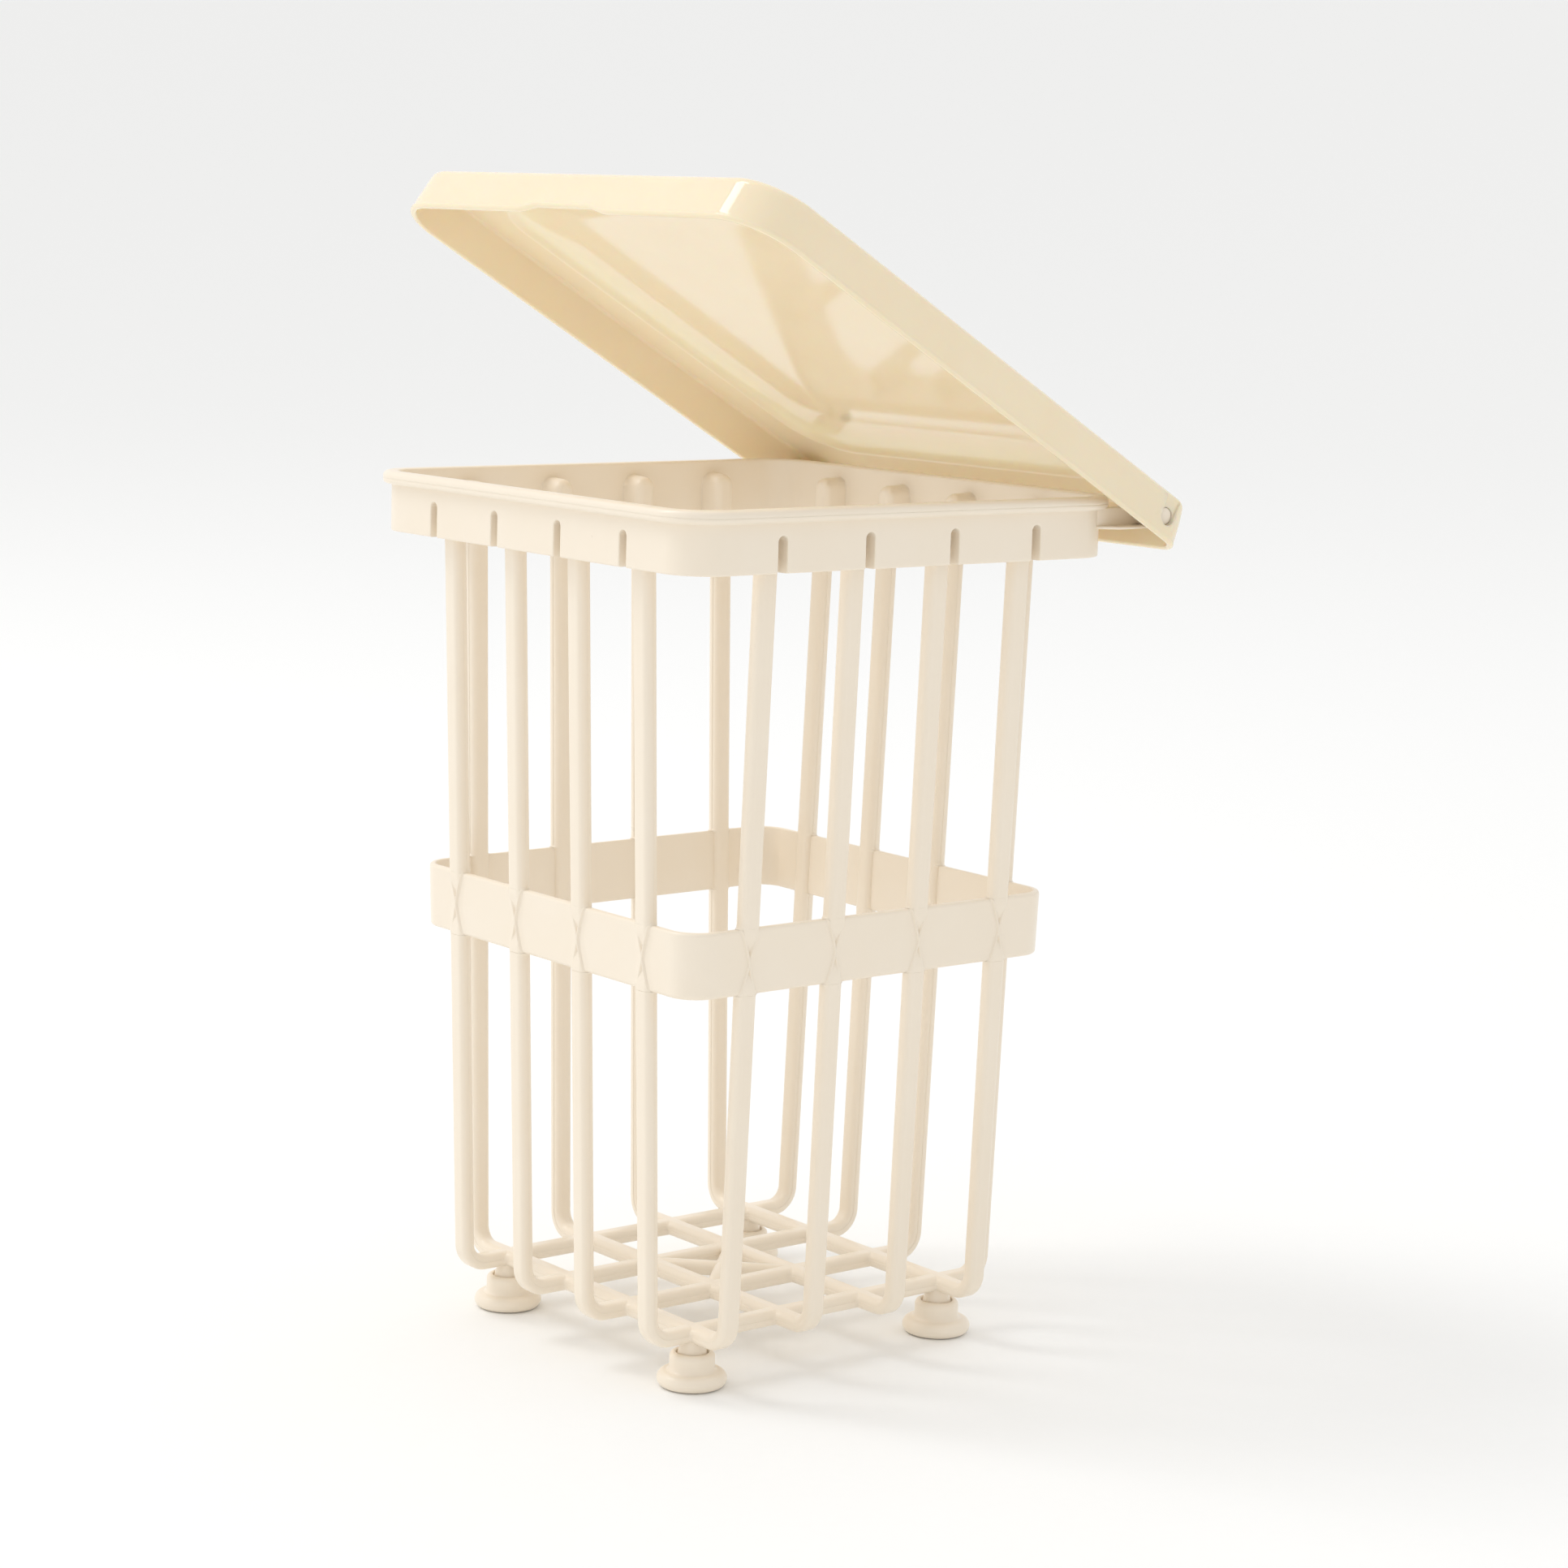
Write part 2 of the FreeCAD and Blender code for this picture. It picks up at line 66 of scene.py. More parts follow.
def length(name, default, note):
    """A length property. The default is given in millimetres and kept in metres."""
    return bpy.props.FloatProperty(name=name, description=note, default=default * MM, min=0.0,
                                   unit="LENGTH", precision=5)


def tint(name, code, note):
    """A colour property. The default is given as an sRGB hex code and kept linear."""
    return bpy.props.FloatVectorProperty(name=name, description=note, default=linear(code),
                                         subtype="COLOR", min=0.0, max=1.0)


# ---------------------------------------------------------------- what a user may change

class BasketSizes(bpy.types.PropertyGroup):
    """Sizes of the basket and its lid. Heights are above the floor."""
    pitch: length("Pitch", 24.0, "Distance from bar to bar")
    collar_half: length("Collar half", 60.2, "Half the collar's width outside")
    collar_wall: length("Collar wall", 1.8, "Thickness of the collar's wall")
    collar_corner: length("Collar corner", 9.5, "Radius of the collar's upright corners")
    collar_low: length("Collar bottom", 183.5, "Height of the collar's lower edge")
    rim_top: length("Rim top", 197.3, "Height of the rim")
    rim_out: length("Rim overhang", 2.0, "How far the rim's bead stands out")
    rim_tall: length("Rim height", 2.9, "Height of the rim's bead")
    slot_half: length("Slot half", 1.2, "Half the width of a slot in the collar")
    slot_top: length("Slot top", 191.4, "Height of a slot's round end")
    slot_deep: length("Slot depth", 4.4, "Depth of a slot")
    boss_half: length("Boss half", 2.6, "Half the width of a boss inside the collar")
    boss_top: length("Boss top", 194.2, "Height of a boss")
    boss_out: length("Boss depth", 6.25, "How far a boss stands in from the wall")
    bar_top: length("Bar offset, top", 54.05, "Middle of the basket to a bar's middle at its top")
    bar_low: length("Bar offset, low", 48.5, "Middle of the basket to a bar's middle at its bend")
    bend: length("Bend", 5.0, "Radius of a bar's bend, at its middle")
    rod_level: length("Rod level", 12.05, "Height of the base rods' middle")
    belt_low: length("Belt bottom", 91.5, "Height of the belt's lower edge")
    belt_top: length("Belt top", 106.2, "Height of the belt's upper edge")
    belt_half: length("Belt half", 52.15, "Half the belt's width outside, at its middle")
    belt_corner: length("Belt corner", 7.0, "Radius of the belt's corners")
    belt_wall: length("Belt wall", 1.5, "Thickness of the belt")
    rib_high: length("Rib height", 0.7, "How far the crossing ribs stand off the belt")
    rib_half: length("Rib half", 0.44, "Half the width of a crossing rib")
    pin_back: length("Pin line, back", 69.2, "Middle of the basket to the pin line")
    pin_level: length("Pin line, height", 193.0, "Height of the pin line")
    pin_radius: length("Pin radius", 1.95, "Radius of the hinge pins")
    hole_radius: length("Hole radius", 2.05, "Radius of the lid's pin holes")
    lid_half: length("Lid half", 68.1, "Half the lid's width at its lower edge")
    lid_front: length("Lid front", 138.0, "Pin line to the lid's front edge")
    lid_back: length("Lid back", 8.0, "Pin line to the lid's back edge")
    lid_wall: length("Lid wall", 1.6, "Thickness of the lid's skirt")
    lid_open: bpy.props.FloatProperty(name="Lid open", description="How far the lid stands open",
                                      default=math.radians(29.9), subtype="ANGLE")


class BasketFinish(bpy.types.PropertyGroup):
    """Colours of the plastics and the floor"""
    cream: tint("Cream", "F7ECDB", "Colour of the moulded plastic")
    cream_deep: tint("Deep cream", "F5E8D4", "Colour where the pigment lies thicker")
    lid_cream: tint("Lid cream", "F6E7CC", "Colour of the polished lid")
    lid_deep: tint("Deep lid cream", "F4E2C3", "Deeper colour of the polished lid")
    paper: tint("Floor", "FCFCFB", "Colour of the studio floor")


def sizes():
    """Every size as millimetres, by name. Angles stay in radians."""
    group = bpy.context.scene.basket_sizes
    names = group.bl_rna.properties.keys()
    found = {n: getattr(group, n) / MM for n in names if n not in ("rna_type", "name", "lid_open")}
    found["lid_open"] = group.lid_open
    return found


# ---------------------------------------------------------------- surfaces

def smooth(t):
    """A soft step: 0 below 0, 1 above 1, and 3t^2 - 2t^3 between."""
    t = np.clip(t, 0, 1)
    return t * t * (3 - 2 * t)


def rounding(distance, radius):
    """How far a face falls back near an edge rounded to a radius: r - sqrt(r^2 - (r - d)^2)."""
    inside = np.clip(radius - distance, 0, radius)
    return radius - np.sqrt(radius ** 2 - inside ** 2)


def arc(centre, radius, start, end, count):
    """Points on a circle between two angles in degrees, as pairs."""
    angles = np.radians(np.linspace(start, end, count))
    return np.column_stack([centre[0] + radius * np.cos(angles), centre[1] + radius * np.sin(angles)])


def grid_faces(rows, columns, wrap_rows=False, wrap_columns=False):
    """Four-sided faces between neighbours of a grid of points, row by row."""
    index = np.arange(rows * columns).reshape(rows, columns)
    if wrap_rows:
        index = np.vstack([index, index[:1]])
    if wrap_columns:
        index = np.hstack([index, index[:, :1]])
    corners = (index[:-1, :-1], index[:-1, 1:], index[1:, 1:], index[1:, :-1])
    return np.stack(corners, axis=-1).reshape(-1, 4)


def surface(points, wrap_rows=False, wrap_columns=False, capped=False):
    """A grid of points as vertices, faces, and its first and last rows as end caps if wanted."""
    rows, columns = points.shape[:2]
    faces = grid_faces(rows, columns, wrap_rows, wrap_columns)
    caps = []
    if capped:
        caps = [list(range(columns)), list(range((rows - 1) * columns, rows * columns))]
    return points.reshape(-1, 3), faces, caps


def make_mesh(name, parts):
    """One mesh from surfaces in millimetres. Doubles are merged, and faces turned outwards."""
    mesh = bpy.data.meshes.new(name)
    start, places, faces, caps = 0, [], [], []
    for vertices, quads, ends in parts:
        places.append(vertices)
        faces.append(quads + start)
        caps += [[v + start for v in end] for end in ends]
        start += len(vertices)
    places = (np.vstack(places) - [0, SLIDE, 0]) * MM
    faces = np.vstack(faces)
    corners = np.concatenate([faces.ravel()] + [np.array(cap) for cap in caps]).astype(np.int32)
    counts = np.concatenate([np.full(len(faces), 4), [len(cap) for cap in caps]]).astype(np.int32)
    starts = np.concatenate([[0], np.cumsum(counts)[:-1]]).astype(np.int32)
    mesh.vertices.add(len(places))
    mesh.vertices.foreach_set("co", places.astype(np.float32).ravel())
    mesh.loops.add(len(corners))
    mesh.loops.foreach_set("vertex_index", corners)
    mesh.polygons.add(len(counts))
    mesh.polygons.foreach_set("loop_start", starts)
    mesh.polygons.foreach_set("loop_total", counts)
    mesh.update(calc_edges=True)
    mesh.validate()
    work = bmesh.new()
    work.from_mesh(mesh)
    bmesh.ops.remove_doubles(work, verts=work.verts, dist=1e-7)
    bmesh.ops.recalc_face_normals(work, faces=work.faces)
    work.to_mesh(mesh)
    work.free()
    mesh.shade_smooth()
    return mesh


def piece(name, parts, material, body, replaced):
    """A finished piece: its mesh, material and place in the frame."""
    obj = bpy.data.objects.new(name, make_mesh(name, parts))
    bpy.context.scene.collection.objects.link(obj)
    obj.data.materials.append(material)
    even = obj.modifiers.new("even_normals", "WEIGHTED_NORMAL")
    even.keep_sharp = True
    even.weight = 70
    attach(obj, body)
    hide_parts(*replaced)
    return obj


def square_path(size, half, radius, stops):
    """Stations round a square with round corners, anticlockwise from the front's left end:
    a side's stops lie along it, and a corner is a quarter circle. Each station has a place,
    an outward direction and the distance to the nearest bar's middle line."""
    angles = np.radians(np.linspace(-90, 0, CORNER_STEPS + 2)[1:-1])
    middle, pitch = half - radius, size["pitch"]
    side = np.column_stack([stops, np.full(len(stops), -half)])
    turn = np.column_stack([middle + radius * np.cos(angles), -middle + radius * np.sin(angles)])
    place = np.vstack([side, turn])
    outward = np.vstack([np.tile([0.0, -1.0], (len(stops), 1)),
                         np.column_stack([np.cos(angles), np.sin(angles)])])
    near = np.abs((stops + pitch * BARS / 2) % pitch - pitch / 2)
    near = np.concatenate([near, np.full(len(angles), FAR)])
    quarter = [np.array([[math.cos(a), math.sin(a)], [-math.sin(a), math.cos(a)]])
               for a in np.radians([0, 90, 180, 270])]
    return (np.vstack([place @ q for q in quarter]), np.vstack([outward @ q for q in quarter]),
            np.tile(near, len(quarter)))


def ring_surface(place, outward, offset, level):
    """A closed profile carried round a path: each station's place, plus its outward direction
    times the offset, at the level. Offset and level are grids of profile rows by stations."""
    across = place[None] + outward[None] * offset[..., None]
    level = np.broadcast_to(level, offset.shape)
    return surface(np.dstack([across, level]), wrap_rows=True, wrap_columns=True)


def around_bars(size, half_straight, near):
    """Stops along a side: the same spacing about every bar, and the side's two ends."""
    pitch = size["pitch"]
    middles = pitch * (np.arange(BARS) - (BARS - 1) / 2)
    both = np.unique(np.concatenate([near, -near]))
    stops = np.concatenate([(middles[:, None] + both).ravel(), middles[:-1] + pitch / 2,
                            [-half_straight, half_straight]])
    return np.unique(np.round(stops, 4))


def revolve(profile, steps):
    """A profile of radius and height turned about Z: (r cos a, r sin a, z). A radius of 0
    makes a pole, which is closed when its doubles merge."""
    angles = np.linspace(0, 2 * math.pi, steps, endpoint=False)
    radius, level = np.asarray(profile, float).T
    points = np.dstack([radius[:, None] * np.cos(angles), radius[:, None] * np.sin(angles),
                        np.repeat(level[:, None], steps, axis=1)])
    return surface(points, wrap_columns=True)


# ---------------------------------------------------------------- materials

def node(tree, kind, settings=None, links=None):
    """Add a node, set its properties or input sockets, and link sockets to its inputs."""
    made = tree.nodes.new(kind)
    for key, value in (settings or {}).items():
        if isinstance(key, str) and hasattr(made, key):
            setattr(made, key, value)
        else:
            made.inputs[key].default_value = value
    for key, source in (links or {}).items():
        tree.links.new(source, made.inputs[key])
    return made


def patches(width):
    """A noise texture's scale, to the nearest ten, for patches this many millimetres wide."""
    return round(1 / (width * MM), -1)


def polypropylene(name, colour, deep, roughness, ripple, milky):
    """Injection-moulded polypropylene, masterbatch cream. A plain mould leaves a soft satin, and
    a polished one a gloss with a faint orange-peel ripple. A milky one lets light run a
    millimetre or two into it, so that a thin wall glows warm."""
    found = bpy.data.materials.get(name)
    if found:
        return found
    material = bpy.data.materials.new(name)
    material.use_nodes = True
    tree = material.node_tree
    tree.nodes.clear()
    spot = node(tree, "ShaderNodeTexCoord").outputs["Object"]
    # clouds of pigment make the cream a little deeper here and there
    clouds = node(tree, "ShaderNodeTexNoise",
                  {"Scale": patches(14.3), "Detail": 3.0, "Roughness": 0.5}, {"Vector": spot})
    shade = node(tree, "ShaderNodeMix", {"data_type": "RGBA", 6: (*colour, 1.0), 7: (*deep, 1.0)},
                 {0: clouds.outputs["Fac"]})
    # marks of the melt's flow change the gloss a little
    flow = node(tree, "ShaderNodeTexNoise", {"Scale": patches(5.0), "Detail": 2.0, "Distortion": 0.6},
                {"Vector": spot})
    gloss = node(tree, "ShaderNodeMapRange", {"To Min": roughness * 0.85, "To Max": roughness * 1.15},
                 {"Value": flow.outputs["Fac"]})
    # the mould's fine grain, with a slow ripple from shrinkage under it
    grain = node(tree, "ShaderNodeTexNoise", {"Scale": patches(0.357), "Detail": 2.0}, {"Vector": spot})
    wave = node(tree, "ShaderNodeTexNoise", {"Scale": patches(2.5), "Detail": 1.0}, {"Vector": spot})
    first = node(tree, "ShaderNodeBump", {"Strength": 0.25, "Distance": 0.02 * MM},
                 {"Height": grain.outputs["Fac"]})
    second = node(tree, "ShaderNodeBump", {"Strength": ripple, "Distance": 0.06 * MM},
                  {"Height": wave.outputs["Fac"], "Normal": first.outputs["Normal"]})
    shader = node(tree, "ShaderNodeBsdfPrincipled", {
        "IOR": 1.49, "Subsurface Weight": milky, "Subsurface Radius": (1.0, 0.5, 0.2),
        "Subsurface Scale": 4.0 * MM,
    }, {"Base Color": shade.outputs[2], "Roughness": gloss.outputs["Result"],
        "Normal": second.outputs["Normal"]})
    node(tree, "ShaderNodeOutputMaterial", {}, {"Surface": shader.outputs["BSDF"]})
    return material


def basket_plastic():
    """Satin and opaque: the bars run into the collar and the belt, and light let into such
    joins would darken them."""
    finish = bpy.context.scene.basket_finish
    return polypropylene("satin_polypropylene", tuple(finish.cream), tuple(finish.cream_deep),
                         roughness=0.3, ripple=0.2, milky=0.0)


def lid_plastic():
    """Polished and a little milky: it mirrors softly, and its thin panel glows."""
    finish = bpy.context.scene.basket_finish
    return polypropylene("polished_polypropylene", tuple(finish.lid_cream), tuple(finish.lid_deep),
                         roughness=0.06, ripple=0.03, milky=0.3)


def matt_paper():
    """Matt card of the studio floor: nearly white, with faint fibres."""
    material = bpy.data.materials.new("matt_paper")
    material.use_nodes = True
    tree = material.node_tree
    tree.nodes.clear()
    colour = tuple(bpy.context.scene.basket_finish.paper)
    fibre_colour = tuple(0.985 * np.array(colour))
    spot = node(tree, "ShaderNodeTexCoord").outputs["Object"]
    fibre = node(tree, "ShaderNodeTexNoise", {"Scale": patches(3.33), "Detail": 3.0}, {"Vector": spot})
    shade = node(tree, "ShaderNodeMix",
                 {"data_type": "RGBA", 6: (*colour, 1.0), 7: (*fibre_colour, 1.0)},
                 {0: fibre.outputs["Fac"]})
    shader = node(tree, "ShaderNodeBsdfPrincipled", {"Roughness": 0.9, "Specular IOR Level": 0.1},
                  {"Base Color": shade.outputs[2]})
    node(tree, "ShaderNodeOutputMaterial", {}, {"Surface": shader.outputs["BSDF"]})
    return material


# ---------------------------------------------------------------- the basket's pieces

def rows_of(*runs):
    """Profile rows joined from runs of pairs, each with how much a slot and a boss move it."""
    pairs = np.vstack([points for points, _, _ in runs])
    slot = np.concatenate([np.full(len(points), share, float) for points, share, _ in runs])
    boss = np.concatenate([np.full(len(points), share, float) for points, _, share in runs])
    return pairs, slot, boss


def upright(offset, levels):
    """Profile rows at the same offset, one for each level."""
    return np.column_stack([np.full(len(levels), offset), levels])


def collar_rows(size):
    """The collar's profile, from its lower edge up the outer face, round the rim's bead and
    down the inner face. Offsets are outwards from the outer face."""
    low, top, wall, out = size["collar_low"], size["rim_top"], size["collar_wall"], size["rim_out"]
    under = top - size["rim_tall"]
    slot_top, boss_top = size["slot_top"], size["boss_top"]
    crown_low = slot_top - size["slot_half"]
    edge, join, bead_low, bead_top, mouth = 0.4, 0.35, 0.95, 1.3, 0.7
    # levels are close together where a slot or a boss ends in a round
    outer = np.concatenate([low + np.array([0.9, 2.5, 4.5]), [crown_low - 0.6, crown_low],
                            np.arange(crown_low + 0.13, slot_top + 0.5, 0.13),
                            [under - 1.4, under - 0.7]])
    inner = np.concatenate([[top - 1.4], np.arange(boss_top + 0.45, boss_top - 2.7, -0.16),
                            low + np.array([6.9, 4.5, 2.5, 0.9])])
    # a fine parting line round the bead
    parting = np.column_stack([out - np.array([0, 0.1, 0.1, 0]),
                               under + np.array([1.12, 1.2, 1.26, 1.36])])
    return rows_of(
        (arc((-edge, low + edge), edge, -90, 0, 4), 1, 0),
        (upright(0.0, outer), 1, 0),
        (arc((join, under - join), join, 180, 90, 4), 0, 0),
        (arc((out - bead_low, under + bead_low), bead_low, -90, 0, 6), 0, 0),
        (parting, 0, 0),
        (arc((out - bead_top, top - bead_top), bead_top, 0, 90, 8), 0, 0),
        ([(-0.2, top)], 0, 0),
        (arc((mouth - wall, top - mouth), mouth, 90, 180, 5), 0, 0),
        (upright(-wall, inner), 0, 1),
        (arc((edge - wall, low + edge), edge, 180, 270, 4), 0, 1),
    )


def slot_depth(size, beside, level):
    """How far a slot takes the outer face in. Its outline is a straight slot with a round top:
    the distance to its middle line, or to its top circle's middle, less half its width. The
    face is rounded outside the outline and drops by a soft step inside it."""
    lip, drop = 0.35, 0.12
    crown_low = size["slot_top"] - size["slot_half"]
    gap = np.hypot(beside, np.maximum(level - crown_low, 0)) - size["slot_half"]
    return rounding(gap, lip) + (size["slot_deep"] - lip) * smooth(-gap / drop)


def boss_height(size, beside, level):
    """How far a boss stands in from the inner face. Its outline is the slot's kind, with its
    end rounded to a circle, and a small cove runs round its root."""
    end_round, cove, spread, side_step = 1.9, 0.3, 0.2, 0.15
    dome = size["boss_top"] - size["boss_half"]
    past = np.hypot(beside, np.maximum(level - dome, 0)) - size["boss_half"]
    on_top = size["boss_out"] - rounding(-past, end_round)
    sides = (size["boss_out"] - end_round - cove) * (1 - smooth(past / side_step))
    root = cove * np.exp(-np.maximum(past, 0) / spread)
    near_bar = beside < size["pitch"] / 4
    return np.where(past < 0, on_top, sides + root) * near_bar


def collar_surface(size):
    """The collar's closed profile carried round the basket. Each row's offset is lessened by
    its share of a slot's depth and of a boss's height."""
    across_slot = np.concatenate([np.arange(0, 1.25, 0.12), [1.26, 1.33, 1.42, 1.52, 1.62, 1.9, 2.2]])
    across_boss = np.array([2.4, 2.5, 2.56, 2.62, 2.68, 2.76, 2.9, 3.3])
    half, corner = size["collar_half"], size["collar_corner"]
    stops = around_bars(size, half - corner, np.concatenate([across_slot, across_boss]))
    place, outward, beside = square_path(size, half, corner, stops)
    profile, slot, boss = collar_rows(size)
    offset, level = profile[:, :1], profile[:, 1:]
    shift = (slot[:, None] * slot_depth(size, beside, level)
             + boss[:, None] * boss_height(size, beside, level))
    return ring_surface(place, outward, offset - shift, level)


def belt_face(size, beside, level):
    """How far the belt's outer face stands out. Two ribs cross on every bar where the distance
    to the bar's middle is w(z), which is 0 at the crossing and grows as a power of the share
    of the way to the belt's edge. Inside the ribs the face rises to the bar's own face, and
    outside them it swells a little towards the bar."""
    low, top = size["belt_low"], size["belt_top"]
    cross = low + 0.49 * (top - low)
    up = np.clip((level - cross) / (top - cross), 0, 1)
    down = np.clip((cross - level) / (cross - low), 0, 1)
    width = 2.45 * up ** 1.25 + 2.2 * down ** 1.25
    # the belt's edges are rounded by the same radius above and below
    roll = rounding(np.minimum(level - low, top - level), 0.8)
    # the bar's face starts a little sunk at the crossing and has round sides
    rise = up + down
    bar = (0.9 * smooth((rise - 0.12) / 0.8) - 0.4 * (1 - smooth(rise / 0.4))
           - rounding(np.maximum(2.5 - beside, 0), 1.35))
    inside = smooth((width - beside) / 0.15 + 0.5)
    swell = 0.18 * smooth(1 - (beside - width) / 2.5)
    belt = (swell - roll) * (1 - inside)
    apart = (beside - width) / size["rib_half"]
    rib = size["rib_high"] * np.clip(1 - apart ** 2, 0, 1) ** 0.8 - roll * 0.6
    return np.maximum(np.where(inside > 0.5, bar, belt), np.where(np.abs(apart) < 1, rib, -FAR))


def belt_surface(size):
    """The belt's closed profile carried round the basket, leaning out with the walls."""
    low, top, wall = size["belt_low"], size["belt_top"], size["belt_wall"]
    edge = np.array([0, 0.06, 0.16, 0.3, 0.5, 0.75])
    outer = np.concatenate([low + edge, np.arange(low + 1.0, top - 0.9, 0.24), top - edge[::-1]])
    # down the inner face, whose edges are a little rounded too
    inner = np.array([top, top - 0.1, top - 0.35, top - 2, low + 2, low + 0.35, low + 0.1, low])
    behind = np.array([0.35, 0.1, 0, 0, 0, 0, 0.1, 0.35]) - wall
    level = np.concatenate([outer, inner])[:, None]
    back = np.concatenate([np.zeros(len(outer)), behind])[:, None]
    face = np.concatenate([np.ones(len(outer)), np.zeros(len(inner))])[:, None]
    lean = -0.25 + 0.5 * (level - low) / (top - low)
    half, corner = size["belt_half"], size["belt_corner"]
    stops = around_bars(size, half - corner, np.concatenate([np.arange(0, 3.1, 0.1), [3.4, 4.2, 6.0]]))
    place, outward, beside = square_path(size, half, corner, stops)
    offset = lean + back + face * belt_face(size, beside, level)
    return ring_surface(place, outward, offset, level)


def bar_section():
    """A bar's outline as across and outward distances: a flat outer face with round edges, a
    small step where the mould's halves met, and a rounder inner half."""
    right = np.vstack([[(0, 1.9), (0.6, 1.9)], arc((1.25, 0.55), 1.35, 90, 0, 8),
                       [(2.6, 0.0), (2.6, -0.08), (2.45, -0.14), (2.45, -0.3)],
                       arc((0.85, -0.3), 1.6, 0, -90, 8)[1:], [(0.4, -1.9), (0, -1.9)]])
    left = right[-2:0:-1] * [-1, 1]
    return np.vstack([right, left])


def hoop_line(size):
    """Half of a hoop, from the collar down to the bend and in to the base's middle. Each station
    has its distance out, its height, its outward direction's angle below level, its share of
    the way up from the bend, and its distance along the rod from the nearest crossing."""
    belt_low, belt_top, collar_low = size["belt_low"], size["belt_top"], size["collar_low"]
    bar_low, bar_out = size["bar_low"], size["bar_top"] - size["bar_low"]
    bend, rod_level = size["bend"], size["rod_level"]
    bend_top = rod_level + bend
    upper, middle, lower = [172, 158, 143, 128, 114], 99, [84, 72, 58, 44, 32, 24, 20]
    swell = np.array([0, 0.08, 0.2, 0.35, 0.55, 0.8, 1.1])
    levels = np.concatenate([
        [collar_low + 0.4, collar_low - 0.5], upper, belt_top + swell[::-1],
        [belt_top - 0.3, belt_top - 0.6, middle, belt_low + 0.6, belt_low + 0.3],
        belt_low - swell, lower, [bend_top]])
    share = (levels - bend_top) / (collar_low - bend_top)
    turn = np.linspace(0, math.pi / 2, 15)[1:]
    beside = np.array([4.6, 3.6, 3.0, 2.6, 2.35, 2.2])
    steps = np.concatenate([beside, [0.0], -beside[::-1]])
    half_pitch = size["pitch"] / 2
    span = np.concatenate([3 * half_pitch + steps, half_pitch + steps])
    out = np.concatenate([bar_low + bar_out * share, bar_low - bend + bend * np.cos(turn), span])
    height = np.concatenate([levels, bend_top - bend * np.sin(turn), np.full(len(span), rod_level)])
    # the bar faces a little down, as the wall leans, and that dies out at the bend
    tilt = math.atan2(bar_out, collar_low - bend_top) * smooth((levels - bend_top) / 20)
    angle = np.concatenate([tilt, turn, np.full(len(span), math.pi / 2)])
    share = np.clip(np.concatenate([share, np.zeros(len(turn) + len(span))]), 0, 1)
    crossing = np.concatenate([np.full(len(levels) + len(turn), FAR), np.abs(np.tile(steps, 2))])
    return out, height, angle, share, crossing


def hoop_surface(size, along, layer):
    """One front bar, its rod across the base and the back bar: the section carried down its
    line and, turned about, up again. Its sides swell by part of a circle at the belt's edges
    and at the rods it crosses. layer lifts it, so that crossing hoops share no face."""
    out, height, angle, share, crossing = hoop_line(size)
    belt_low, belt_top = size["belt_low"], size["belt_top"]
    across, depth = bar_section().T
    # the section is the bar's at its top, and tapers downwards
    wide = (4.6 + 0.6 * share) / 5.2
    thick = (3.5 + 0.3 * share) / 3.8
    to_belt = np.minimum(np.abs(height - belt_top), np.abs(height - belt_low))
    flare = rounding(to_belt, 0.8) + rounding(np.maximum(crossing - 2.1, 0), 1.5)
    on_side = np.exp(-(depth / 1.1) ** 2) * np.sign(across) * (np.abs(across) > 1.5)
    # behind the belt the outer face sinks, so that only the belt's own face shows
    hidden = smooth((belt_top - height) / 0.6) * smooth((height - belt_low) / 0.6)
    sunk = 0.9 * hidden[:, None] * np.maximum(depth + 0.3, 0)
    a = across * wide[:, None] + flare[:, None] * on_side
    b = (depth - sunk) * thick[:, None]
    y = -(out[:, None] + b * np.cos(angle)[:, None])
    z = height[:, None] - b * np.sin(angle)[:, None] + layer
    front = np.dstack([a + along, y, z])
    back = front[::-1] * [1, -1, 1]
    return surface(np.vstack([front, back]), wrap_columns=True, capped=True)


def turned(part, quarter):
    """A surface turned about Z by quarters."""
    vertices, faces, caps = part
    c, s = round(math.cos(quarter * math.pi / 2)), round(math.sin(quarter * math.pi / 2))
    spin = np.array([[c, s, 0], [-s, c, 0], [0, 0, 1]])
    return vertices @ spin, faces, caps


def stick(start, end, wide, tall, radius):
    """A straight stick with a rounded rectangular section, level or leaning, capped at its ends."""
    start, end = np.array(start, float), np.array(end, float)
    w, t = wide / 2 - radius, tall / 2 - radius
    section = np.vstack([arc((w, t), radius, 0, 90, 6), arc((-w, t), radius, 90, 180, 6),
                         arc((-w, -t), radius, 180, 270, 6), arc((w, -t), radius, 270, 360, 6)])
    along = (end - start) / np.linalg.norm(end - start)
    side = np.cross(along, [0, 0, 1])
    side = side / np.linalg.norm(side)
    up = np.cross(side, along)
    ring = section[:, :1] * side + section[:, 1:] * up
    return surface(np.stack([start + ring, end + ring]), wrap_columns=True, capped=True)


def plate(plan, low, high, radius):
    """A level plate: a plan drawn in by mitres near its top and bottom, so its edges are round."""
    plan = np.asarray(plan, float)
    forward = np.roll(plan, -1, axis=0) - plan
    forward /= np.linalg.norm(forward, axis=1)[:, None]
    normal = np.column_stack([forward[:, 1], -forward[:, 0]])
    before = np.roll(normal, 1, axis=0)
    mitre = (normal + before) / (1 + (normal * before).sum(axis=1))[:, None]
    turn = np.radians(np.linspace(0, 90, 5))
    inset = radius * np.concatenate([1 - np.sin(turn), 1 - np.cos(turn)])
    level = np.concatenate([low + radius * (1 - np.cos(turn)), high - radius * (1 - np.sin(turn))])
    rings = plan[None] - mitre[None] * inset[:, None, None]
    levels = np.repeat(level[:, None], len(plan), axis=1)
    return surface(np.dstack([rings, levels]), wrap_columns=True, capped=True)


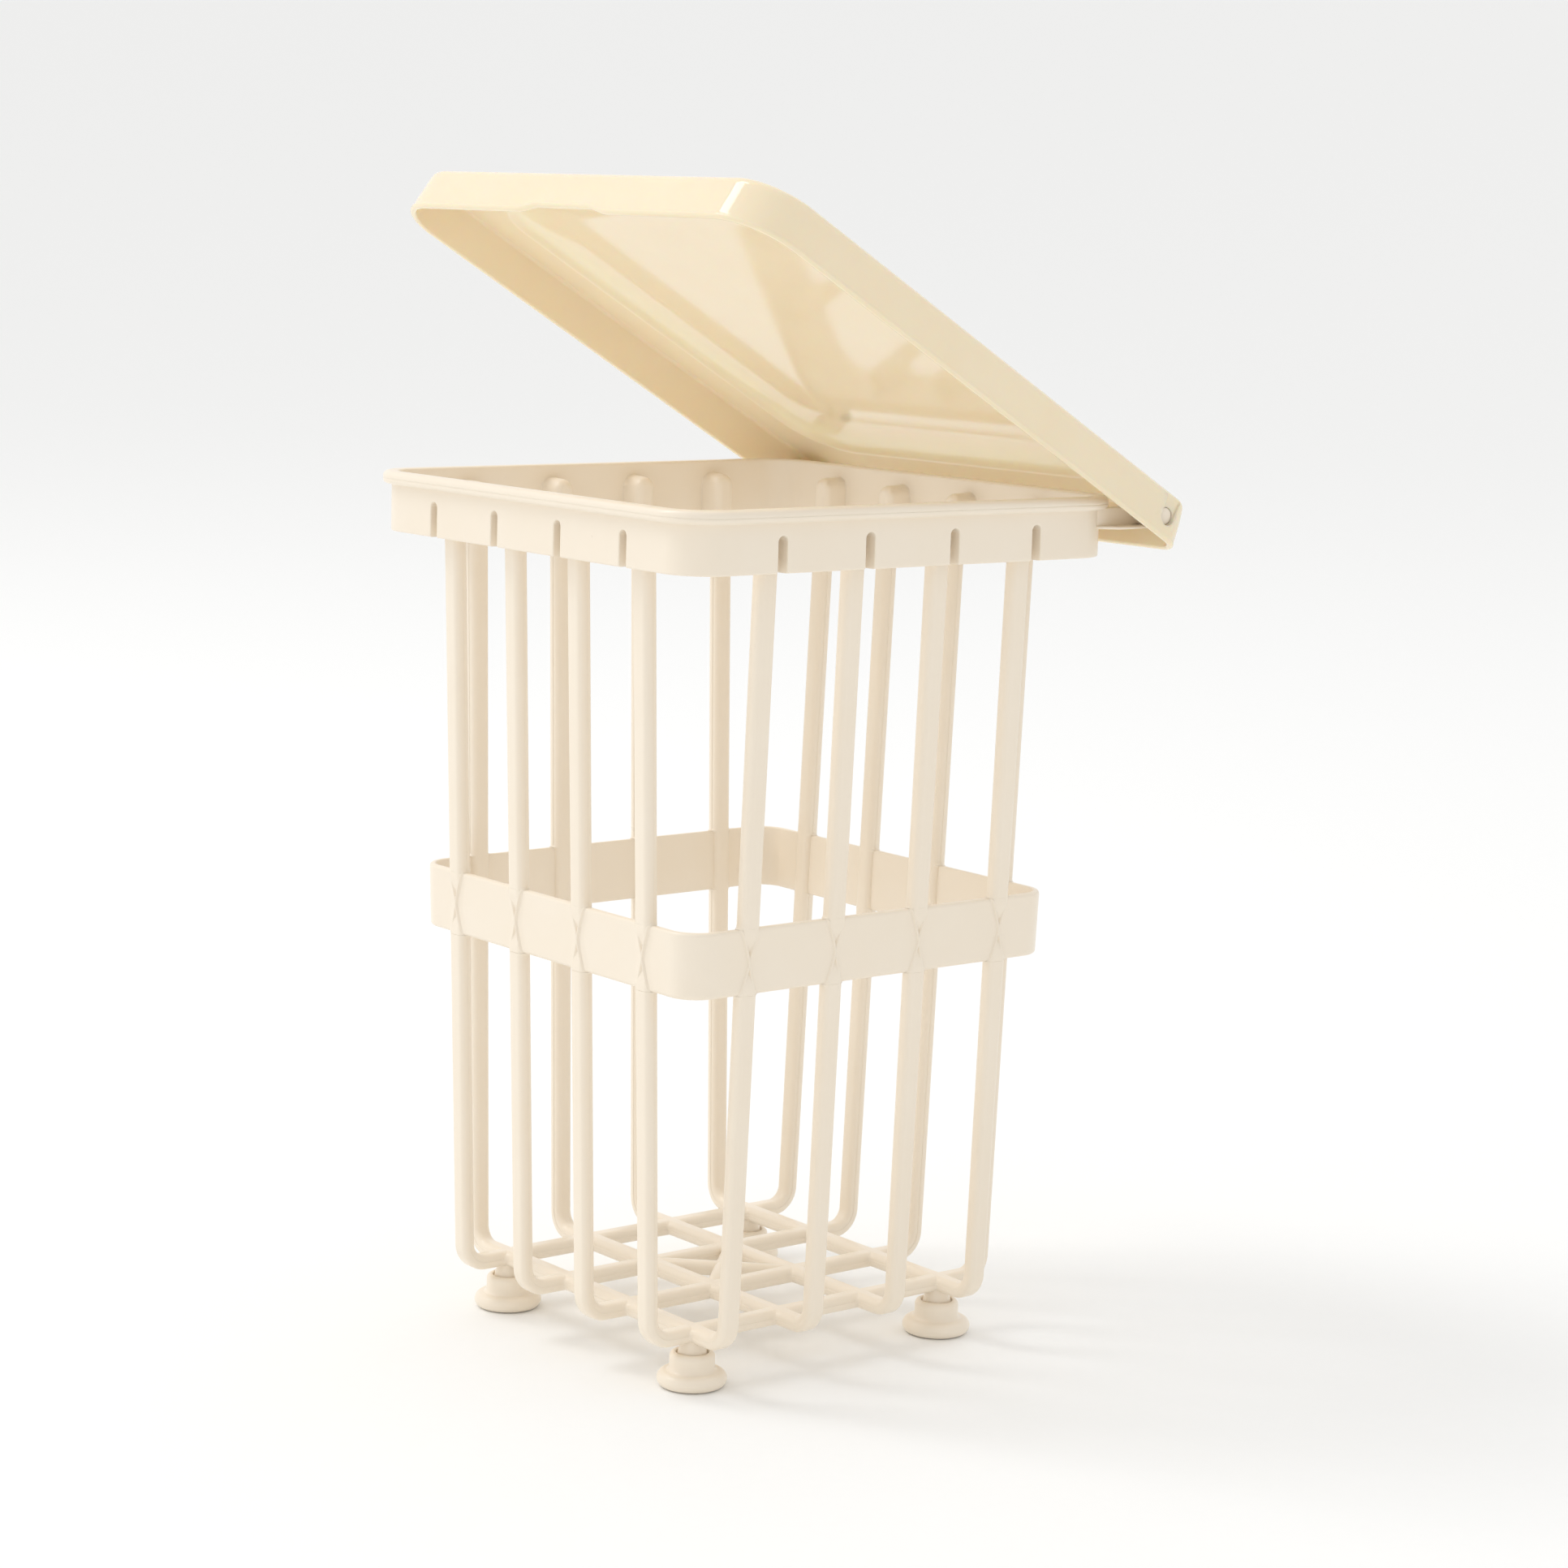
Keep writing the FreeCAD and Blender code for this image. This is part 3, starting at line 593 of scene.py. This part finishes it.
def foot_profile():
    """Radius and height of a foot, from the middle of its flat underside, round the thick brim,
    up the crown, over its domed shoulder and down inside the lip to the post."""
    return np.vstack([
        [(0, 0), (4, 0), (5.9, 0)], arc((6.1, 1.8), 1.8, -80, 62, 14), [(6.62, 3.5)],
        arc((6.1, 4.5), 0.95, 285, 180, 7), [(5.1, 5.2), (5.1, 6.4)],
        arc((3.95, 6.75), 1.15, 0, 82, 7), [(3.86, 7.82), (3.72, 7.7), (3.66, 7.4), (3.66, 7.1),
                                            (3.0, 7.1), (0, 7.1)]])


def post_profile(size):
    """Radius and height of the conical post above its foot, with its top inside the crossing."""
    return np.array([(0, 6.9), (3.2, 6.9), (3.3, 7.0), (3.3, 7.6), (3.22, 7.8), (2.75, 9.9),
                     (2.8, 10.6), (2.2, size["rod_level"]), (0, size["rod_level"])])


def arm_parts(size, side):
    """A hinge arm, with side 1 on the right and -1 on the left: the boss and pin, turned about
    the pin line, the web, and the flange under it. The plans follow the collar's corner."""
    back, radius, nose = size["pin_back"], size["pin_radius"], 0.3
    root, shoulder, tip, boss = 56.6, 64.4, 66.6, 2.7
    pin = np.vstack([[(0, root), (boss - 0.2, root), (boss, root + 0.2), (boss, shoulder)],
                     arc((boss - nose, shoulder), nose, 0, 90, 4)[1:],
                     [(radius, shoulder + nose), (radius, tip - 0.4)],
                     arc((radius - nose, tip - 0.4), nose, 0, 80, 4)[1:], [(1.0, tip - 0.03), (0, tip)]])
    points, faces, caps = revolve(pin, 64)
    points = np.column_stack([side * points[:, 2], points[:, 0] + back,
                              points[:, 1] + size["pin_level"]])
    corner = [(root, 56.9), (59.0, 54.6)]
    web = np.array(corner + [(59.0, back), (root, back)]) * (side, 1)
    flange = np.array(corner + [(62.4, 59.2), (62.4, back), (root, back)]) * (side, 1)
    # a mirrored plan runs the other way round, so it is turned about
    return [(points, faces, caps), plate(web[::side], 190.2, 194.6, 0.3),
            plate(flange[::side], 189.9, 190.6, 0.3)]


# ---------------------------------------------------------------- the lid

def lid_outline(size, inset, front, back, pull):
    """A level outline: a rectangle with round corners, drawn in by the inset. Its stations keep
    their order at every inset. pull draws it towards the panel's middle, and 1 makes a point."""
    half = size["lid_half"] - inset
    ahead, behind = size["lid_front"] - inset, size["lid_back"] - inset
    reach_f, reach_b = half - front, half - back
    # stations 1.2 mm apart across the finger notch, and one more on each side of it
    notch = np.linspace(-18, 18, 31) / reach_f
    beyond = (1 + notch[-1]) / 2
    notch = np.concatenate([[-beyond], notch, [beyond]])
    sides = np.array([-0.97, -0.9, -0.7, -0.4, 0.0, 0.4, 0.7, 0.9, 0.97])
    corner_f, corner_b = np.radians(np.linspace(0, 90, 22)), np.radians(np.linspace(0, 90, 12))
    mid, deep = (behind - ahead) / 2, (behind + ahead) / 2

    def run(a, b, stops):
        """Stations on a straight between two corners, by the share of its half length."""
        a, b = np.array(a), np.array(b)
        return (a + b) / 2 + (b - a) / 2 * stops[:, None]

    front_y, back_y = mid - deep, mid + deep
    steps = np.concatenate([
        run((-reach_f, front_y), (reach_f, front_y), notch),
        np.column_stack([reach_f + front * np.sin(corner_f), front_y + front - front * np.cos(corner_f)]),
        run((half, front_y + front), (half, back_y - back), sides),
        np.column_stack([reach_b + back * np.cos(corner_b), back_y - back + back * np.sin(corner_b)]),
        run((reach_b, back_y), (-reach_b, back_y), sides),
        np.column_stack([-reach_b - back * np.sin(corner_b), back_y - back + back * np.cos(corner_b)]),
        run((-half, back_y - back), (-half, front_y + front), sides),
        np.column_stack([-reach_f - front * np.cos(corner_f), front_y + front - front * np.sin(corner_f)]),
    ])
    return (steps - [0, mid]) * (1 - pull) + [0, mid]


def lid_rows(size):
    """The lid's profile from the middle of its top, out over the raised panel, down the skirt,
    round its lower edge, up inside and in to the middle of the underside. Each row is inset,
    height, front corner radius, back corner radius and pull."""
    wall = size["lid_wall"]
    panel_corner = 15.0
    shares = (0.05, 0.2, 0.4, 0.6, 0.8, 1.0)
    rows = [(25.0, 8.5, panel_corner, panel_corner, pull) for pull in shares[::-1]]

    def add(pairs, front, back):
        rows.extend((i, z, front(i), back(i), 0.0) for i, z in pairs)

    def panel_front(i):
        return float(10.0 + 5.0 * smooth((i - 3) / 9))

    def panel_back(i):
        return float(3.3 + 11.7 * smooth((i - 3.5) / 9.5)) if i < 13 else panel_corner

    def skirt_front(i):
        return max(14.2 - i, 10.0)

    def skirt_back(i):
        return max(6.0 - i, 1.5)

    def hollow_front(i):
        return float(9.6 + 5.4 * smooth((i - 4.6) / 8))

    def hollow_back(i):
        return 2.0 if i < 4 else float(2.0 + 13 * smooth((i - 4) / 9))

    # the top: the raised panel's slope, then the level border
    t = np.linspace(1, 0, 12)
    add(np.column_stack([13 + 11 * t, 5.6 + 2.9 * smooth(t)]), panel_front, panel_back)
    add([(9, 5.6), (6, 5.6), (4.2, 5.6)], panel_front, panel_back)
    # the skirt: its round shoulder, its outer face and its round lower edge
    add(arc((3.1, 3.6), 2.0, 92, 178, 9), skirt_front, skirt_back)
    add([(0.93, 2.2), (0.78, 1.0), (0.66, 0.0), (0.38, -2.2), (0.2, -3.7), (0.14, -4.05),
         (0.02, -4.2), (0.0, -4.4)], skirt_front, skirt_back)
    add(arc((0.7, -4.4), 0.7, 190, 270, 5), skirt_front, skirt_back)
    add(arc((wall - 0.6, -4.5), 0.6, 270, 350, 5), skirt_front, skirt_back)
    # the underside: the skirt's inner face, a round inner corner and the level border
    add([(wall + 0.15, -2.5), (wall + 0.56, 0.0), (wall + 0.9, 2.6)], skirt_front, hollow_back)
    add(arc((wall + 2.0, 3.4), 1.0, 175, 95, 6), skirt_front, hollow_back)
    add([(4.6, 4.4), (7, 4.4), (10, 4.4), (12.6, 4.4), (13.4, 4.38), (13.8, 4.42)],
        hollow_front, hollow_back)
    # a crisp round ridge, a steep cove, then a long gentle rise to the flat panel
    add([(14.1, 4.52), (14.4, 4.72), (14.8, 5.05), (15.3, 5.42), (15.9, 5.76), (16.6, 6.05),
         (17.6, 6.34), (19, 6.62), (20.6, 6.86), (22.2, 7.06), (23.6, 7.2), (25, 7.28), (26.4, 7.3)],
        panel_front, lambda i: panel_corner)
    rows.extend((26.4, 7.3, panel_corner, panel_corner, pull) for pull in shares)
    return rows


def lid_place(size, points):
    """Lid points about the pin line, tipped open and moved to the hinge."""
    c, s = math.cos(size["lid_open"]), math.sin(size["lid_open"])
    x, y, z = points[..., 0], points[..., 1], points[..., 2]
    return np.stack([x, size["pin_back"] + y * c + z * s, size["pin_level"] - y * s + z * c], axis=-1)


def lid_surface(size):
    """The profile's rows as outlines, one inside the next. The front's lower edge rises by a soft
    step in a shallow notch for a finger, and the back skirt leans in by another towards its top."""
    notch_half, notch_side, notch_rise, back_lean = 16.3, 7.0, 1.15, 0.35
    grid = []
    for inset, level, front, back, pull in lid_rows(size):
        flat = lid_outline(size, inset, front, back, pull)
        on_skirt = inset < 4
        is_front = (flat[:, 1] < 6 - size["lid_front"]) & (abs(level) < 6) & on_skirt
        lift = (notch_rise * smooth((notch_half - np.abs(flat[:, 0])) / notch_side) * is_front
                * smooth((-1.8 - level) / 2.0))
        flat[:, 1] -= (back_lean * smooth((level - 0.5) / 4) * smooth((flat[:, 1] - 2) / 3)
                       * on_skirt)
        grid.append(np.column_stack([flat, level + lift]))
    return surface(lid_place(size, np.stack(grid)), wrap_columns=True)


def cut_with(obj, parts):
    """Take closed surfaces away from a piece's mesh and keep the result as its mesh."""
    for index, part in enumerate(parts):
        tool = bpy.data.objects.new(f"cutter_{index}", make_mesh(f"cutter_{index}", [part]))
        bpy.context.scene.collection.objects.link(tool)
        change = obj.modifiers.new("cut", "BOOLEAN")
        change.operation = "DIFFERENCE"
        change.solver = "MANIFOLD"
        change.object = tool
        graph = bpy.context.evaluated_depsgraph_get()
        cut = bpy.data.meshes.new_from_object(obj.evaluated_get(graph))
        obj.modifiers.remove(change)
        old = obj.data
        obj.data = cut
        bpy.data.meshes.remove(old)
        bpy.data.objects.remove(tool)


def side_prism(size, outline, x_low, x_high):
    """A prism along X whose outline is given in the lid's own Y and Z."""
    ends = [np.column_stack([np.full(len(outline), x), outline]) for x in (x_low, x_high)]
    return surface(lid_place(size, np.stack(ends)), wrap_columns=True, capped=True)


# ---------------------------------------------------------------- operators

class MakeCollar(bpy.types.Operator):
    """The solid collar with its rolled rim, slots and bosses"""
    bl_idname = "basket.make_collar"
    bl_label = "Collar"

    def execute(self, context):
        piece("rolled_collar", [collar_surface(sizes())], basket_plastic(), "basket",
              ["collar"])
        return {"FINISHED"}


class MakeBelt(bpy.types.Operator):
    """The belt round the middle, with ribs that cross on every bar"""
    bl_idname = "basket.make_belt"
    bl_label = "Belt"

    def execute(self, context):
        piece("ribbed_belt", [belt_surface(sizes())], basket_plastic(), "basket", ["belt"])
        return {"FINISHED"}


class MakeHoops(bpy.types.Operator):
    """The bars, each running on under the base as a rod and up the other side"""
    bl_idname = "basket.make_hoops"
    bl_label = "Bars and rods"

    def execute(self, context):
        size = sizes()
        layer = 0.04
        for quarter, (near, far) in enumerate((("front", "back"), ("right", "left"))):
            for i in range(BARS):
                along = size["pitch"] * (i - (BARS - 1) / 2)
                hoop = turned(hoop_surface(size, along, layer * quarter), quarter)
                piece(f"hoop_{near}_{i + 1}", [hoop], basket_plastic(), "basket",
                      [f"{near}_bar_{i + 1}", f"{far}_bar_{BARS - i}"])
        return {"FINISHED"}


class MakeBrace(bpy.types.Operator):
    """The diagonal brace in the base's middle cell"""
    bl_idname = "basket.make_brace"
    bl_label = "Middle brace"

    def execute(self, context):
        size = sizes()
        reach, level = size["pitch"] / 2, size["rod_level"]
        wide, tall, round_edge = 3.4, 3.5, 1.5
        arms = [stick((-reach, -reach * way, level), (reach, reach * way, level), wide, tall, round_edge)
                for way in (1, -1)]
        piece("middle_brace", arms, basket_plastic(), "basket", ["base_grid"])
        return {"FINISHED"}


class MakeFeet(bpy.types.Operator):
    """The conical posts and the push-on feet under the corner crossings"""
    bl_idname = "basket.make_feet"
    bl_label = "Posts and feet"

    def execute(self, context):
        size = sizes()
        reach = size["pitch"] * (BARS - 1) / 2
        for name, x, y in (("front_left", -1, -1), ("front_right", 1, -1),
                           ("back_right", 1, 1), ("back_left", -1, 1)):
            for part, profile, slot in (("foot", foot_profile(), "feet"),
                                        ("post", post_profile(size), "basket")):
                vertices, faces, caps = revolve(profile, 72)
                moved = vertices + [x * reach, y * reach, 0]
                piece(f"{name}_button_{part}", [(moved, faces, caps)], basket_plastic(), "basket",
                      [f"{name}_{part}"])
        return {"FINISHED"}


class MakeArms(bpy.types.Operator):
    """The two hinge arms, each with a web, a lower flange, a boss and a pin"""
    bl_idname = "basket.make_arms"
    bl_label = "Hinge arms"

    def execute(self, context):
        for name, side in (("right", 1), ("left", -1)):
            piece(f"{name}_arm_with_pin", arm_parts(sizes(), side), basket_plastic(), "basket",
                  [f"{name}_hinge_arm"])
        return {"FINISHED"}


class MakeLid(bpy.types.Operator):
    """The lid, with its skirt, raised panel, finger notch and pin holes"""
    bl_idname = "basket.make_lid"
    bl_label = "Lid"

    def execute(self, context):
        size = sizes()
        lid = piece("panel_lid", [lid_surface(size)], lid_plastic(), "lid", ["lid"])
        # a hole through each side for its pin, and a shallow channel that leads the pin in
        channel_half, channel_top = 2.15, 7.0
        within, channel_floor, outside = 63.0, 66.6, 70.0
        hole = arc((0, 0), size["hole_radius"], 0, 360, 65)[:-1]
        channel = np.vstack([arc((0, 0), channel_half, 180, 360, 25),
                             [(channel_half, channel_top), (-channel_half, channel_top)]])
        cuts = []
        for side in (1, -1):
            for outline, start in ((hole, within), (channel, channel_floor)):
                low, high = sorted((side * start, side * outside))
                cuts.append(side_prism(size, outline, low, high))
        cut_with(lid, cuts)
        return {"FINISHED"}


# ---------------------------------------------------------------- the stage

def make_floor(scene):
    """A pale floor, flat about the basket, that rises far off by a soft step."""
    away = np.linspace(0, 14000, 57)
    profile = np.column_stack([away, 1500 * smooth((away - 3000) / 11000) - 0.05])
    floor = bpy.data.objects.new("studio_floor", make_mesh("studio_floor", [revolve(profile, 128)]))
    floor.data.flip_normals()
    floor.data.materials.append(matt_paper())
    scene.collection.objects.link(floor)


def make_sky(scene):
    """A white room whose right-hand side is a little dimmer."""
    world = bpy.data.worlds.new("soft_sky")
    world.use_nodes = True
    tree = world.node_tree
    spot = node(tree, "ShaderNodeTexCoord").outputs["Generated"]
    parts = node(tree, "ShaderNodeSeparateXYZ", {}, {"Vector": spot})
    level = node(tree, "ShaderNodeMapRange",
                 {"From Min": -0.2, "From Max": 1.0, "To Min": 0.98, "To Max": 0.7},
                 {"Value": parts.outputs["X"]})
    background = tree.nodes["Background"]
    background.inputs["Color"].default_value = (1.0, 1.0, 1.0, 1.0)
    tree.links.new(level.outputs["Result"], background.inputs["Strength"])
    scene.world = world
    scene.view_settings.view_transform = "Standard"


def make_softbox(scene, name, place, aim, width, height, power):
    """A rectangular lamp of a size in metres and a power in watts, turned to its aim."""
    lamp = bpy.data.lights.new(name, "AREA")
    lamp.shape = "RECTANGLE"
    lamp.size, lamp.size_y, lamp.energy = width, height, power
    holder = bpy.data.objects.new(name, lamp)
    turn = (Vector(place) - Vector(aim)).to_track_quat("Z", "Y").to_matrix().to_4x4()
    holder.matrix_world = Matrix.Translation(place) @ turn
    scene.collection.objects.link(holder)


def make_camera(scene):
    """A long lens from the front right, a little above the rim."""
    lens = bpy.data.cameras.new("view")
    lens.sensor_width, lens.lens, lens.clip_end = 36.0, 85.386, 50.0
    camera = bpy.data.objects.new("view", lens)
    right, up = Vector((0.6251, 0.7801, 0.0286)), Vector((-0.1389, 0.0750, 0.9875))
    behind = Vector((0.7681, -0.6212, 0.1552))
    turn = Matrix((right, up, behind)).transposed().to_4x4()
    camera.matrix_world = Matrix.Translation((0.66640, -0.52426 - SLIDE * MM, 0.26114)) @ turn
    scene.collection.objects.link(camera)
    scene.camera = camera


class MakeStage(bpy.types.Operator):
    """A pale studio floor, soft lights and the camera"""
    bl_idname = "basket.make_stage"
    bl_label = "Stage"

    def execute(self, context):
        scene = context.scene
        make_floor(scene)
        make_sky(scene)
        make_softbox(scene, "key_softbox", (-0.94, -0.83, 1.72), (0.0, 0.0, 0.18), 0.5, 1.0, 9.0)
        make_softbox(scene, "top_softbox", (0.1, 0.4, 2.2), (0.0, 0.0, 0.2), 1.2, 1.2, 1.0)
        make_camera(scene)
        return {"FINISHED"}


OPERATORS = (MakeStage, MakeCollar, MakeBelt, MakeHoops, MakeBrace, MakeFeet, MakeArms, MakeLid)


class BasketPanel(bpy.types.Panel):
    """Lists the sizes and colours, and a button for each group of pieces"""
    bl_idname = "VIEW3D_PT_lidded_basket"
    bl_label = "Lidded basket"
    bl_space_type = "VIEW_3D"
    bl_region_type = "UI"
    bl_category = "Basket"

    def draw(self, context):
        for group in (context.scene.basket_sizes, context.scene.basket_finish):
            box = self.layout.box()
            for name in group.bl_rna.properties.keys():
                if name not in ("rna_type", "name"):
                    box.prop(group, name)
        for operator in OPERATORS:
            self.layout.operator(operator.bl_idname)


CLASSES = (BasketSizes, BasketFinish, *OPERATORS, BasketPanel)


def register():
    """Make the classes known, and give each scene its sizes and colours."""
    for cls in CLASSES:
        bpy.utils.register_class(cls)
    bpy.types.Scene.basket_sizes = bpy.props.PointerProperty(type=BasketSizes)
    bpy.types.Scene.basket_finish = bpy.props.PointerProperty(type=BasketFinish)


def unregister():
    """Take back what register gave."""
    del bpy.types.Scene.basket_finish
    del bpy.types.Scene.basket_sizes
    for cls in reversed(CLASSES):
        bpy.utils.unregister_class(cls)


def main():
    """Build everything."""
    register()
    for operator in OPERATORS:
        area, name = operator.bl_idname.split(".")
        getattr(getattr(bpy.ops, area), name)()


if __name__ == "__main__":
    main()
